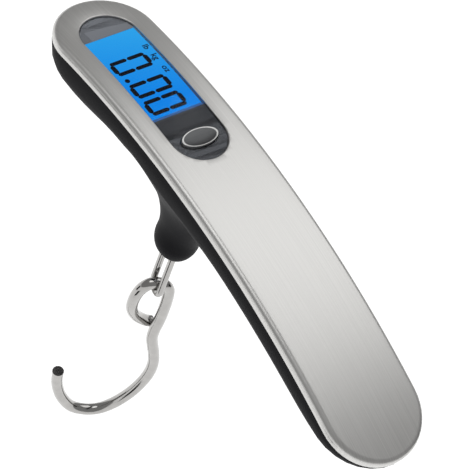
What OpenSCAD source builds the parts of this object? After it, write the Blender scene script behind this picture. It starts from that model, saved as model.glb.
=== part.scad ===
// Hand-held digital luggage scale: an arched handle with a steel face, a display and a hanging hook.
// Frame: X along the handle (display end at -X), Y across it, +Z up.
// Origin: the crown of the steel face at mid-length, where the hand closes round the handle.

/* [Handle] */
// Length of the handle from tip to tip
handle_l = 154; // [150:1:190]
// Width of the handle across the steel face
handle_w = 29; // [28:0.5:36]
// Radius of the lengthwise arch of the steel face
arch_r = 256; // [230:2:400]
// Thickness of the steel face plate
steel_t = 0.8; // [0.5:0.1:1]
// Height of the steel band round the side
band_h = 2.9; // [2.6:0.1:4]
// Outside radius of the steel plate's edge
edge_r = 1.6; // [1.2:0.1:2]

/* [Lower shell] */
// Wall thickness of the lower shell
wall = 1.8; // [1.4:0.1:2.2]
// Height of the shell's upright side under the steel band
side_h = 2.2; // [2:0.1:4]
// Depth of the rounded underside below that upright side
belly_d = 11; // [10.5:0.5:14]
// Extra depth of the underside over the battery
battery_bulge = 1; // [0.5:0.5:4]
// How far the underside rises towards the two tips
tip_rise = 6; // [3:0.5:7]
// Set-back of the shell from the steel band
seam_inset = 0.3; // [0.2:0.1:0.6]

/* [Neck and pull link] */
// Place of the neck along the handle
neck_x = -14; // [-16:1:-13]
// Radius of the neck at its round end
neck_r = 6; // [5.8:0.1:7.5]
// Depth of the neck's open mouth below the crown of the face
neck_depth = 41.4; // [40:0.2:55]
// Radius of the bore through the neck
neck_bore_r = 4.7; // [4.6:0.05:4.8]
// Diameter of the link's wire
link_wire_d = 2; // [1.6:0.1:2.2]
// Distance between the centres of the link's two legs
link_pitch = 5.8; // [5.6:0.1:5.8]
// Distance from the clevis pin to the centre of the link's lower wire
link_drop = 22.7; // [20:0.1:35]
// Diameter of the hook's wire
hook_wire_d = 3.4; // [2.8:0.1:3.5]

/* [Display and button] */
// Half width of the display panel
panel_hw = 8.3; // [8:0.1:9]
// Place of the panel's outer end along the arch
panel_a = -70.2; // [-71:0.1:-69]
// Place of the panel's inner end along the arch
panel_b = -13.7; // [-14:0.1:-10]
// Place of the middle of the display window along the arch
window_s = -46.8; // [-47:0.1:-46]
// Length of the display window
window_l = 31.4; // [24:0.5:32]
// Thickness of the clear lens
lens_t = 0.6; // [0.4:0.1:0.6]
// Place of the button along the arch
button_s = -20.9; // [-21.2:0.1:-20.6]
// Half size of the button along the handle
button_a = 2.8; // [2.2:0.1:3.2]
// Half size of the button across the handle
button_b = 5.6; // [4:0.1:6]
// Travel of the button
button_travel = 0.4; // [0.2:0.05:0.5]

/* [Battery] */
// Diameter of the coin cell
cell_d = 20; // [16:0.5:20]
// Thickness of the coin cell
cell_t = 2.5; // [1.6:0.1:3.2]
// Place of the coin cell along the arch
battery_s = -53; // [-53.5:0.5:-52.5]

/* [Hidden] */
$fn = 48;

// Clearance between pieces that are fitted together and don't move
fit_gap = 0.1;
// Clearance round pieces that move
move_gap = 0.25;
// Facets of a full circle at the arch's radius
arch_fn = 720;

half_w = handle_w / 2;
shell_w = half_w - seam_inset;
// Angle and arc length from mid-handle to the centre of each round end
end_angle = asin(handle_l / 2 / sqrt(arch_r * arch_r + half_w * half_w)) - atan(half_w / arch_r);
end_s = arch_r * end_angle * PI / 180;
parting = band_h + 0.15;

// ---------- placing on the arch ----------

function arch_angle(s) = s / arch_r * 180 / PI;
function face_z(x) = sqrt(arch_r * arch_r - x * x) - arch_r;

// Moves its children to place s along the arch, with z = 0 on the face and +z along its normal
module on_arch(s) {
    translate([0, 0, -arch_r])
        rotate([0, arch_angle(s), 0])
            translate([0, 0, arch_r])
                children();
}

// Sweeps a half section (x = distance from the spine, y = height over the face) along the arch
// from place a to place b, and round both ends
module arch_run(a, b) {
    sweep = arch_angle(b - a);
    translate([0, 0, -arch_r])
        rotate([90, 0, 0])
            rotate([0, 0, 90 - arch_angle(b)])
                rotate_extrude(angle = sweep, $fn = arch_fn)
                    translate([arch_r, 0])
                        union() {
                            mirror([1, -1]) children();
                            mirror([0, 1]) mirror([1, -1]) children();
                        }
    on_arch(b) rotate([0, 0, -90]) rotate_extrude(angle = 180, $fn = 96) children();
    on_arch(a) rotate([0, 0, 90]) rotate_extrude(angle = 180, $fn = 96) children();
}

// All that lies deeper than the given depth under the face
module under_arch(depth) {
    translate([0, 0, -arch_r])
        rotate([90, 0, 0])
            cylinder(r = arch_r - depth, h = 3 * handle_w, center = true, $fn = 2 * arch_fn);
}

// A box centred in x and y, from height z1 down to z0
module block(x0, x1, y0, y1, z0, z1) {
    translate([x0, y0, z0])
        cube([x1 - x0, y1 - y0, z1 - z0]);
}

// An upright rod of radius r from height z0 up to z1
module rod(r, z0, z1) {
    translate([0, 0, z0])
        cylinder(r = r, h = z1 - z0);
}

// A screw with the underside of its head on z = 0 and its shank below, with a cross or hex drive
module screw(shank_r, shank_l, head_r, head_h, hex = false) {
    drive = 1.2 * head_r;
    difference() {
        union() {
            rod(shank_r, -shank_l, head_h / 3);
            rod(head_r, 0, head_h);
        }
        translate([0, 0, head_h])
            if (hex)
                cylinder(d = drive, h = head_h, center = true, $fn = 6);
            else
                for (turn = [0, 90])
                    rotate([0, 0, turn])
                        cube([drive, drive / 4, head_h / 1.6], center = true);
    }
}

// ---------- rounded underside ----------

// Bell curve round place c, used to swell the underside
function swell(s, c, w) = exp(-pow((s - c) / w, 2));
function tip(s) = swell(s, handle_l / 2 + 3, 15) + 0.5 * swell(s, -handle_l / 2 - 3, 12);
function side(s) = side_h * (1 - 0.9 * tip(s));
function drop(s) = belly_d
    + battery_bulge * swell(s, battery_s - 4, 13)
    + 5 * swell(s, neck_x, 12)
    - tip_rise * tip(s);
function squareness(s) = 2.2 + 0.4 * swell(s, battery_s - 4, 14) - 0.1 * tip(s);
// Depth of the shell's outside under the face, at place s and distance y from the spine
function shell_depth(s, y) =
    parting + side(s) + drop(s) * pow(1 - pow(abs(y) / shell_w, squareness(s)), 1 / squareness(s));

// The outline seen from above, as pairs of spine place and outward angle, starting at the +X tip
end_steps = 14;
side_steps = 26;
outline = concat(
    [for (i = [0 : end_steps / 2]) [end_s, 180 * i / end_steps]],
    [for (i = [1 : side_steps - 1]) [end_s - 2 * end_s * i / side_steps, 90]],
    [for (i = [0 : end_steps]) [-end_s, 90 + 180 * i / end_steps]],
    [for (i = [1 : side_steps - 1]) [-end_s + 2 * end_s * i / side_steps, 270]],
    [for (i = [0 : end_steps / 2 - 1]) [end_s, 270 + 180 * i / end_steps]]);

// A point at outline pair o, at distance rho from the spine and at the given depth
function hull_point(o, rho, depth) =
    let (a = arch_angle(o[0]), u = rho * cos(o[1]), h = arch_r - depth)
    [h * sin(a) + u * cos(a), rho * sin(o[1]), h * cos(a) - u * sin(a) - arch_r];

function under_ring(phi, inset) = [for (o = outline)
    let (w = shell_w - inset,
        s = o[0] + w * cos(o[1]) * cos(phi),
        e = 2 / squareness(s),
        rho = w * pow(cos(phi), e),
        depth = parting + side(s) + (drop(s) - inset) * pow(sin(phi), e))
    hull_point(o, rho, depth)];

// Closed skin through rings of points that are mirror images about y = 0, first ring on top
module ring_skin(rings) {
    n = len(rings[0]);
    last = (len(rings) - 1) * n;
    half = n / 2;
    walls = [for (k = [0 : len(rings) - 2], j = [0 : n - 1])
        let (j1 = (j + 1) % n)
        [k * n + j, k * n + j1, (k + 1) * n + j1, (k + 1) * n + j]];
    lids = [for (j = [1 : half - 2]) [j, j + 1, n - j - 1, n - j]];
    ends = [[0, 1, n - 1], [half - 1, half, half + 1]];
    caps = concat(lids, ends);
    under = [for (f = caps) [for (i = f) last + i]];
    over = [for (f = caps) [for (i = [len(f) - 1 : -1 : 0]) f[i]]];
    polyhedron(points = [for (r = rings, p = r) p], faces = concat(walls, under, over), convexity = 6);
}

// The solid inside the shell's outside face, moved in by inset
module under_solid(inset) {
    top_ring = [for (o = outline) hull_point(o, shell_w - inset, 0)];
    ring_skin(concat([top_ring],
        [for (phi = [0, 14, 27, 39, 50, 60, 69, 77, 84]) under_ring(phi, inset)]));
}

// ---------- neck ----------

neck_steps = 40;
neck_top = -12;
neck_waist = -neck_depth + 7.6;
bulb_z = -neck_depth + 5.2;
neck_flare_x = 21;
neck_flare_y = 11.2;
// How much further the neck reaches on its +X side
neck_reach = 1.2;

// Oval ring of the neck at height z, with half sizes a (on the -X side) and b
function neck_ring(z, a, b) = [for (i = [0 : neck_steps - 1])
    let (turn = 360 * i / neck_steps)
    [neck_x + neck_reach / 2 + (a + neck_reach / 2) * cos(turn), b * sin(turn), z]];
function bulb_r(z) = neck_r * sqrt(1 - pow((z - bulb_z) / (neck_depth * 0.05 + neck_r), 2));

// Flared neck with a round end
module neck_solid() {
    flare = [for (i = [0 : 9])
        let (t = 1 - i / 9)
        neck_ring(neck_waist + (neck_top - neck_waist) * t,
            neck_r + (neck_flare_x - neck_r) * pow(t, 1.55),
            neck_r + (neck_flare_y - neck_r) * pow(t, 1.25))];
    bulb = [for (i = [1 : 6])
        let (z = bulb_z - (neck_depth + bulb_z) * sin(15 * i))
        neck_ring(z, bulb_r(z), bulb_r(z))];
    ring_skin(concat(flare, [neck_ring(bulb_z, neck_r, neck_r)], bulb));
}

// ---------- steel face and display ----------

lens_top = 0.1;
film_t = 0.1;
film_bottom = lens_top + lens_t + film_t;
frame_top = steel_t + 0.05;
frame_t = 1.4;
frame_under = frame_top + frame_t;
panel_mid = (panel_a + panel_b) / 2;
panel_straight = arch_r * sin(arch_angle(panel_b - panel_mid)) - panel_hw;

// Half section of the steel cap's outside, moved in by inset
module cap_section(inset) {
    w = half_w - inset;
    r = edge_r - inset;
    translate([0, -band_h - inset]) square([w, band_h - edge_r + inset]);
    translate([0, -edge_r]) square([w - r, edge_r - inset]);
    translate([w - r, -edge_r]) circle(r);
}

// Stadium through the face at the display panel, grown by grow, down to the given depth
module panel_hole(grow, deep) {
    r = panel_hw + grow;
    difference() {
        on_arch(panel_mid)
            translate([0, 0, -2 * film_bottom - 3])
                linear_extrude(2 * film_bottom + 5) {
                    square([2 * panel_straight, 2 * r], center = true);
                    for (side = [-1, 1])
                        translate([side * panel_straight, 0]) circle(r, $fn = 96);
                }
        under_arch(deep);
    }
}

// A sheet that fills the panel's opening between two depths under the face
module panel_sheet(top, bottom) {
    intersection() {
        panel_hole(-fit_gap, bottom);
        under_arch(top);
    }
}

// Outline of the button, grown by grow
module button_outline(grow) {
    polygon([for (i = [0 : 47]) [(button_a + grow) * cos(7.5 * i), (button_b + grow) * sin(7.5 * i)]]);
}

module button_hole(grow) {
    on_arch(button_s)
        translate([0, 0, -film_bottom - 3])
            linear_extrude(film_bottom + 5)
                button_outline(grow);
}

module face_plate() {
    color("#cfcdc9")
        difference() {
            arch_run(-end_s, end_s) intersection() {
                difference() {
                    cap_section(0);
                    cap_section(steel_t);
                }
                translate([0, -band_h]) square([half_w, band_h]);
            }
            panel_hole(0, 2 * steel_t);
        }
}

module lens_panel() {
    color("#dfe6ee")
        difference() {
            panel_sheet(lens_top, lens_top + lens_t);
            button_hole(move_gap);
        }
}

module mask_film() {
    margin = 0.5;
    color("#4a4d52")
        difference() {
            panel_sheet(lens_top + lens_t, film_bottom);
            button_hole(move_gap);
            on_arch(window_s)
                block(-window_l / 2, window_l / 2, -panel_hw + margin, panel_hw - margin, -4, 1);
        }
}

module power_button() {
    top = 0.35;
    flange_top = film_bottom + 0.2;
    flange_t = 0.6;
    stem_end = 2.85;
    color("#8b8d90")
        on_arch(button_s)
            difference() {
                union() {
                    translate([0, 0, -flange_top - flange_t / 2])
                        linear_extrude(flange_top + flange_t / 2 + top)
                            button_outline(0);
                    translate([0, 0, -flange_top - flange_t])
                        linear_extrude(flange_t)
                            button_outline(0.8);
                    rod(1.2, -stem_end, -flange_top);
                }
                translate([0, 0, top + 29.7]) sphere(r = 30, $fn = 180);
            }
}

// ---------- display stack, in the board's own frame ----------

board_s = -40;
lcd_top = 2.6;
lcd_t = 1.8;
lcd_bottom = lcd_top + lcd_t;
guide_t = 2.5;
board_top = lcd_bottom + guide_t;
board_t = 1;
board_x0 = -26.5;
board_x1 = 21.5;
board_hw = 9.4;
lcd_x = window_s - board_s;
lcd_hl = window_l / 2 + 0.35;
lcd_hw = 8.6;
switch_x = button_s - board_s;
pcb_screw_places = [[-24.4, -5.5], [-24.4, 5.5], [13, -7.6], [13, 7.6]];
pcb_screw_r = 0.8;

module lcd_glass() {
    color("#2f8ff2")
        on_arch(board_s)
            block(lcd_x - lcd_hl, lcd_x + lcd_hl, -lcd_hw, lcd_hw, -lcd_bottom, -lcd_top);
}

module light_guide() {
    color("#e8f2ff")
        on_arch(board_s)
            block(lcd_x - lcd_hl + 0.5, lcd_x + lcd_hl - 0.5, -6.6, 6.6, -board_top, -lcd_bottom);
}

module backlight_leds() {
    color("#f4f4d8")
        on_arch(board_s)
            for (y = [-3.5, 3.5])
                block(lcd_x + lcd_hl - 0.4, lcd_x + lcd_hl + 0.8, y - 1.4, y + 1.4, -board_top, -board_top + 1.4);
}

module zebra_strips() {
    color("#3b3b3f")
        on_arch(board_s)
            for (side = [-1, 1])
                translate([lcd_x, side * 7.7, 0])
                    block(-13, 13, -0.7, 0.7, -board_top, -lcd_bottom);
}

module main_pcb() {
    color("#1f6b3a")
        on_arch(board_s)
            difference() {
                block(board_x0, board_x1, -board_hw, board_hw, -board_top - board_t, -board_top);
                for (p = pcb_screw_places)
                    translate([p[0], p[1], 0])
                        rod(pcb_screw_r + fit_gap, -board_top - board_t - 1, -board_top + 1);
                // The board's outer corners follow the round end of the handle
                for (side = [-1, 1])
                    translate([board_x0, side * board_hw, -board_top - board_t / 2])
                        rotate([0, 0, 45])
                            cube([4.6, 4.6, 3], center = true);
            }
}

module chip_blob() {
    color("#17171a")
        on_arch(board_s)
            translate([2, 0, -board_top - board_t])
                intersection() {
                    translate([0, 0, 4.1]) sphere(r = 5.2);
                    rod(4, -1.1, 0);
                }
}

module pcb_screws() {
    color("#b9b9bd")
        on_arch(board_s)
            for (p = pcb_screw_places)
                translate([p[0], p[1], -board_top - board_t])
                    rotate([180, 0, 0])
                        screw(pcb_screw_r, board_top + board_t - 4.2, 1.4, 0.8);
}

switch_body_h = 2.4;
module switch_body() {
    color("#2a2a2e")
        on_arch(board_s)
            translate([switch_x, 0, -board_top])
                difference() {
                    block(-2.4, 2.4, -2.4, 2.4, 0, switch_body_h);
                    rod(1.25, switch_body_h - 1.3, switch_body_h + 1);
                }
}

module switch_plunger() {
    color("#d8d4c8")
        on_arch(board_s)
            translate([switch_x, 0, -board_top])
                rod(1.2, switch_body_h - 0.7, switch_body_h + 0.85);
}

// ---------- frame under the steel ----------

tongue_out = shell_w - wall - 0.15;
tongue_t = 1.1;
tongue_h = 0.6;
boss_meet = 8;
case_screw_places = [5.8 - handle_l / 2, 33.5, handle_l / 2 - 10.2];
case_screw_r = 1.15;

// Half section of the frame: a plate under the steel and a tongue that enters the lower shell
module frame_section() {
    out = half_w - steel_t - fit_gap;
    polygon([[0, -frame_top], [out - 0.9, -frame_top], [out, -frame_top - 0.9],
        [out, -band_h], [tongue_out, -band_h], [tongue_out, -parting - tongue_h],
        [tongue_out - tongue_t, -parting - tongue_h], [tongue_out - tongue_t, -frame_under], [0, -frame_under]]);
}

module mid_frame() {
    color("#2c2c31")
        difference() {
            union() {
                arch_run(-end_s, end_s) frame_section();
                for (s = case_screw_places)
                    on_arch(s) rod(2.5, -boss_meet, -frame_under + 0.1);
                on_arch(board_s)
                    for (p = pcb_screw_places)
                        translate([p[0], p[1], 0])
                            rod(1.6, -board_top, -frame_under - pow(p[0], 2) / 2 / arch_r + 0.2);
            }
            panel_hole(0, film_bottom + 0.05);
            on_arch(board_s)
                block(lcd_x - lcd_hl - fit_gap, lcd_x + lcd_hl + fit_gap, -lcd_hw - fit_gap, lcd_hw + fit_gap, -5, 1);
            on_arch(button_s)
                translate([0, 0, -5])
                    linear_extrude(6)
                        button_outline(0.8 + move_gap);
            for (s = case_screw_places)
                on_arch(s) rod(case_screw_r, -boss_meet - 1, -4);
            on_arch(board_s)
                for (p = pcb_screw_places)
                    translate([p[0], p[1], 0])
                        rod(pcb_screw_r, -board_top - 1, -4);
        }
}

// ---------- lower shell ----------

screw_head_r = 2.1;
screw_head_h = 1.5;
head_sink = 2.8;
function case_rho(s) = max(0, abs(s) - end_s);
function case_head(s) = shell_depth(s, case_rho(s)) - head_sink;

plate_top = 7.6;
plate_t = 1.5;
plate_under = plate_top + plate_t;
plate_x0 = -8;
plate_x1 = 44;
plate_hw = 9;
plate_screw_places = [[3.5, -6.9], [3.5, 6.9], [40.5, -6.9], [40.5, 6.9]];
plate_screw_r = 1.2;

cup_r = cell_d / 2 + 0.3;
cup_wall = 1.2;
cup_roof = 8.5;
cup_inside = cup_roof + 1;
cell_top = cup_inside + 0.8;
cell_bottom = cell_top + cell_t;
door_l = cell_d + 5;
door_w = cell_d + 2;
door_t = 1.6;

// Outline of the battery door, grown by grow
module door_prism(grow) {
    r = 4;
    translate([0, 0, -30])
        linear_extrude(30 - cell_top) {
            square([door_l + 2 * grow, door_w - 2 * r], center = true);
            square([door_l - 2 * r, door_w + 2 * grow], center = true);
            for (x = [-1, 1], y = [-1, 1])
                translate([x * (door_l / 2 - r), y * (door_w / 2 - r)])
                    circle(r + grow);
        }
}

// Raised parts inside the shell
module shell_bosses() {
    for (s = case_screw_places)
        on_arch(s) rod(3.2, -shell_depth(s, case_rho(s)) + 0.9, -boss_meet - 0.05);
    for (p = plate_screw_places)
        translate([p[0], p[1], 0])
            rod(2.2, face_z(p[0]) - shell_depth(p[0], p[1]) + 0.9, -plate_under);
    on_arch(battery_s) rod(cup_r + cup_wall, -cell_bottom + 0.1, -cup_roof);
}

module lower_shell() {
    color("#232327")
        difference() {
            union() {
                intersection() {
                    difference() {
                        under_solid(0);
                        under_solid(wall);
                    }
                    under_arch(parting);
                }
                intersection() {
                    neck_solid();
                    under_solid_or_below();
                }
                // The raised parts stop inside the shell's wall
                intersection() {
                    shell_bosses();
                    under_solid(wall / 2);
                }
            }
            // Bore of the neck, with an eased mouth
            translate([neck_x, 0, 0]) {
                rod(neck_bore_r, -neck_depth - 1, -9);
                translate([0, 0, -neck_depth - 0.01])
                    cylinder(r1 = neck_bore_r + 0.5, r2 = neck_bore_r, h = 1.2);
            }
            for (s = case_screw_places)
                on_arch(s) {
                    rod(screw_head_r + 0.2, -40, -case_head(s));
                    rod(case_screw_r + 0.15, -40, -boss_meet + 1);
                }
            for (p = plate_screw_places)
                translate([p[0], p[1], 0]) rod(plate_screw_r, -plate_under - 4.5, -plate_under + 1);
            on_arch(battery_s) {
                rod(cup_r, -cell_bottom - 1, -cup_inside);
                door_prism(0.2);
                // Slots for the two contacts
                block(-cup_r - 0.6, -cup_r + 0.5, -2.3, 2.3, -cell_bottom - 1, -cup_roof + 1);
                block(5.6, 7.1, -1.3, 1.3, -cup_inside - 0.5, -cup_roof + 1);
            }
        }
}

// Keeps the neck's flare out of the handle's hollow
module under_solid_or_below() {
    difference() {
        block(neck_x - 30, neck_x + 30, -half_w, half_w, -neck_depth - 1, -10);
        under_solid(wall);
    }
}

module battery_door() {
    rib_r = 6;
    color("#26262a")
        union() {
            difference() {
                intersection() {
                    under_solid(0);
                    on_arch(battery_s) door_prism(0);
                }
                under_solid(door_t);
                on_arch(battery_s) rod(cell_d / 2 + 0.4, -cell_bottom - 0.15, 0);
                // Fingernail notch
                on_arch(battery_s)
                    translate([door_l / 2 - 1.2, 0, -shell_depth(battery_s, 0) - 0.2])
                        rotate([90, 0, 0])
                            cylinder(r = 1, h = 9, center = true);
            }
            // Ring that holds the coin cell up against its contact
            on_arch(battery_s)
                difference() {
                    rod(rib_r, -shell_depth(battery_s, 0) + door_t - 0.3, -cell_bottom - 0.05);
                    rod(rib_r - 1.2, -40, 0);
                }
        }
}

module coin_cell() {
    color("#c9ccd0")
        on_arch(battery_s) {
            rod(cell_d / 2, -cell_bottom, -cell_top - 0.8);
            rod(cell_d / 2 - 1.6, -cell_top - 0.81, -cell_top);
        }
}

module cell_contact_minus() {
    leaf_t = 0.25;
    color("#d6c27a")
        on_arch(battery_s) {
            block(-4, 7, -1.2, 1.2, -cup_inside - leaf_t, -cup_inside);
            rod(1.2, -cell_top, -cup_inside - leaf_t / 2);
            block(5.75, 6.95, -1.2, 1.2, -cup_inside - leaf_t, -cup_roof + 0.3);
        }
}

module cell_contact_plus() {
    strip_t = 0.25;
    color("#d6c27a")
        on_arch(battery_s)
            block(-cell_d / 2 - 0.02 - strip_t, -cell_d / 2 - 0.02, -2, 2,
                -cell_bottom + 0.4, -board_top - board_t);
}

module case_screws() {
    color("#8e8e93")
        for (s = case_screw_places)
            on_arch(s)
                translate([0, 0, -case_head(s)])
                    rotate([180, 0, 0])
                        screw(case_screw_r, case_head(s) - 4.2, screw_head_r, screw_head_h);
}

// ---------- load path ----------

beam_top = 10;
beam_h = 4;
beam_hw = 4.2;
beam_x0 = neck_x - 5;
beam_x1 = 25;
beam_hole_r = 1.5;
beam_hole_places = [0, 7];
beam_screw_places = [16, 22];
beam_screw_r = 1.5;
stud_r = 2;

module load_plate() {
    color("#9ea1a6")
        difference() {
            block(plate_x0, plate_x1, -plate_hw, plate_hw, -plate_under, -plate_top);
            for (p = plate_screw_places)
                translate([p[0], p[1], 0]) rod(plate_screw_r + 0.15, -plate_under - 1, -plate_top + 1);
            for (x = beam_screw_places)
                translate([x, 0, 0]) rod(beam_screw_r + 0.15, -plate_under - 1, -plate_top + 1);
            on_arch(case_screw_places[1]) rod(3.6, -14, 0);
        }
}

module plate_screws() {
    color("#8e8e93")
        for (p = plate_screw_places)
            translate([p[0], p[1], -plate_top])
                screw(plate_screw_r, plate_t + 4, 2, 1.3);
}

module load_cell() {
    pad = beam_top - plate_under;
    color("#c3c6ca")
        difference() {
            union() {
                block(beam_x0, beam_x1, -beam_hw, beam_hw, -beam_top - beam_h, -beam_top);
                block(beam_screw_places[0] - 3.5, beam_x1, -beam_hw, beam_hw, -beam_top, -beam_top + pad);
            }
            for (x = beam_hole_places)
                translate([x, 0, -beam_top - beam_h / 2])
                    rotate([90, 0, 0])
                        cylinder(r = beam_hole_r, h = 3 * beam_hw, center = true);
            block(beam_hole_places[0], beam_hole_places[1], -2 * beam_hw, 2 * beam_hw,
                -beam_top - beam_h / 2 - 0.4, -beam_top - beam_h / 2 + 0.4);
            translate([neck_x, 0, 0]) rod(stud_r + 0.06, -beam_top - beam_h - 1, -beam_top + 1);
            for (x = beam_screw_places)
                translate([x, 0, 0]) rod(beam_screw_r, -beam_top - beam_h - 1, -plate_under + 1);
        }
}

module strain_gauges() {
    patch_t = 0.15;
    color("#c98a3a")
        for (x = beam_hole_places, z = [-beam_top, -beam_top - beam_h - patch_t])
            translate([x, 0, z])
                block(-2, 2, -1.5, 1.5, 0, patch_t);
}

module load_cell_screws() {
    color("#8e8e93")
        for (x = beam_screw_places)
            translate([x, 0, -plate_top])
                screw(beam_screw_r, beam_top + beam_h - 0.3 - plate_top, 2.7, 1.6, hex = true);
}

// Smooth curve through hand-set points, with steps pieces between two points
function spline_point(p, i, t) =
    let (n = len(p) - 1,
        a = p[max(i - 1, 0)], b = p[i], c = p[min(i + 1, n)], d = p[min(i + 2, n)])
    0.5 * (2 * b + (c - a) * t + (2 * a - 5 * b + 4 * c - d) * t * t + (3 * b - a - 3 * c + d) * t * t * t);
function spline(p, steps) = concat(
    [for (i = [0 : len(p) - 2], k = [0 : steps - 1]) spline_point(p, i, k / steps)],
    [p[len(p) - 1]]);
function unit(v) = v / norm(v);

// Round wire of diameter d along a path; side is a direction that the path never follows
module wire(path, d, sides, side) {
    n = len(path);
    rings = [for (i = [0 : n - 1])
        let (along = unit(path[min(i + 1, n - 1)] - path[max(i - 1, 0)]),
            e1 = unit(cross(side, along)),
            e2 = cross(along, e1))
        [for (k = [0 : sides - 1])
            path[i] + d / 2 * (cos(360 * k / sides) * e1 + sin(360 * k / sides) * e2)]];
    walls = [for (i = [0 : n - 2], k = [0 : sides - 1])
        let (k1 = (k + 1) % sides)
        [i * sides + k, (i + 1) * sides + k, (i + 1) * sides + k1, i * sides + k1]];
    start_cap = [for (k = [0 : sides - 1]) k];
    end_cap = [for (k = [sides - 1 : -1 : 0]) (n - 1) * sides + k];
    polyhedron(points = [for (r = rings, p = r) p], faces = concat(walls, [start_cap], [end_cap]), convexity = 10);
}

// Four thin wires from the gauges to the board
module gauge_wires() {
    wire_d = 0.7;
    start_z = -beam_top + 0.52;
    color("#b33a32")
        for (side = [-1, 1], k = [0, 1])
            wire(spline([[-1.9, side * (0.5 + 0.9 * k), start_z], [-5.5, side * (2.4 + k), start_z],
                    [-10, side * (5 + k), start_z + 0.1], [-15.5, side * (5.8 + k), -8.7],
                    [-20, side * (6 + k), -8.22]], 3),
                wire_d, 8, [0, 0, 1]);
}

clevis_r = 4.2;
clevis_top = -30;
clevis_end = -neck_depth + 0.6;
slot_w = link_wire_d + 0.5;
link_turn = -20;
link_tilt = 6.8;
link_bend_r = link_pitch / 2;
pin_r = 1.2;
pin_z = -37.4;
pin_seat = link_wire_d / 2 + pin_r + 0.08;

// Moves its children to the stud's axis, with x across the link
module at_stud() {
    translate([neck_x, 0, 0])
        rotate([0, 0, link_turn])
            children();
}

module pull_stud() {
    color("#b4b6ba")
        at_stud()
            difference() {
                union() {
                    rod(stud_r, clevis_top - 1, -beam_top + 3.4);
                    rod(3.2, -beam_top - beam_h - 1.5, -beam_top - beam_h - 0.1);
                    translate([0, 0, clevis_top])
                        cylinder(r1 = clevis_r, r2 = stud_r, h = 3);
                    rod(clevis_r, clevis_end, clevis_top);
                }
                translate([0, 0, (pin_z + pin_seat + 2.2 + clevis_end - 3) / 2])
                    cube([3 * clevis_r, slot_w, pin_z + pin_seat + 2.2 - clevis_end + 3], center = true);
                translate([0, 0, pin_z])
                    rotate([90, 0, 0])
                        cylinder(r = pin_r, h = 3 * clevis_r, center = true);
            }
}

module clevis_pin() {
    color("#a7a9ad")
        at_stud()
            translate([0, 0, pin_z])
                rotate([90, 0, 0])
                    cylinder(r = pin_r, h = 8, center = true);
}

module stud_washer() {
    color("#b9b9bd")
        at_stud()
            difference() {
                rod(4, -beam_top + 0.05, -beam_top + 0.5);
                rod(stud_r + 0.1, -beam_top - 1, -beam_top + 2);
            }
}

module stud_nut() {
    color("#a4a6aa")
        at_stud()
            difference() {
                translate([0, 0, -beam_top + 0.5]) cylinder(r = 3.9, h = 1.8, $fn = 6);
                rod(stud_r, -beam_top, -beam_top + 4);
            }
}

// Closed wire link that hangs on the clevis pin, its length along z
module pull_link() {
    top_z = pin_seat - link_bend_r;
    low_z = -link_drop + link_bend_r;
    color("#c9cacc")
        at_stud()
            translate([0, 0, pin_z])
                rotate([0, -link_tilt, 0]) {
                    for (side = [-1, 1])
                        translate([side * link_bend_r, 0, low_z])
                            cylinder(d = link_wire_d, h = top_z - low_z);
                    translate([0, 0, top_z]) rotate([90, 0, 0]) link_bend();
                    translate([0, 0, low_z]) rotate([-90, 0, 0]) link_bend();
                }
}

// Half turn of the link's wire
module link_bend() {
    rotate_extrude(angle = 180)
        translate([link_bend_r, 0])
            circle(d = link_wire_d);
}

hook_turn = 62;
// The wire at the top of the hook's eye lies on the link's lower wire
hook_hang = link_drop - link_wire_d / 2 - hook_wire_d / 2 - 0.15;
hook_at = [neck_x + hook_hang * sin(link_tilt) * cos(link_turn),
    hook_hang * sin(link_tilt) * sin(link_turn),
    pin_z - hook_hang * cos(link_tilt)];
// The hook's wire, from the curled end round the eye and down to the tip: across, out of plane, height
hook_points = [[5.2, 3.6, -24.8], [3, 3.3, -23.9], [-0.6, 2.3, -20.1], [-3.2, 1, -14.6], [-4.1, 0.3, -8.6],
    [-3.7, 0, -3.7], [-2.1, 0, -0.8], [0, 0, 0], [2.3, 0, -0.7], [4.1, 0, -3.3], [4.9, 0, -7.8], [5.4, 0, -13],
    [5.7, 0, -18.5], [5.7, 0, -23], [6.1, 0, -27.4], [7.2, 0, -31.2], [8.8, 0, -35.8], [10.1, 0, -40.8],
    [10.5, 0, -46.4], [9.7, 0, -52.4], [7.8, 0, -58.7], [4.8, 0, -64.4], [1.2, 0, -68.1], [-3, 0, -69.1],
    [-7.7, 0, -67.4], [-11.8, 0, -62], [-14.5, 0, -55.4], [-15.8, 0, -48.8]];

module hook() {
    color("#c4c5c8")
        translate(hook_at)
            rotate([0, 0, hook_turn])
                wire(spline(hook_points, 4), hook_wire_d, 12, [0, 1, 0]);
}

face_plate();
lens_panel();
mask_film();
mid_frame();
lower_shell();
battery_door();
power_button();
switch_body();
switch_plunger();
lcd_glass();
light_guide();
backlight_leds();
zebra_strips();
main_pcb();
chip_blob();
pcb_screws();
coin_cell();
cell_contact_minus();
cell_contact_plus();
load_plate();
plate_screws();
load_cell();
strain_gauges();
gauge_wires();
load_cell_screws();
pull_stud();
stud_washer();
stud_nut();
clevis_pin();
pull_link();
hook();
case_screws();
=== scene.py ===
"""Looks of a digital luggage scale, built as pieces round its packed CAD frame."""

import math

import bmesh
import bpy
from bpy.props import FloatProperty, FloatVectorProperty, IntProperty, PointerProperty
from bpy.types import Operator, Panel, PropertyGroup
from mathutils import Matrix, Vector
from mathutils.bvhtree import BVHTree


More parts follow.
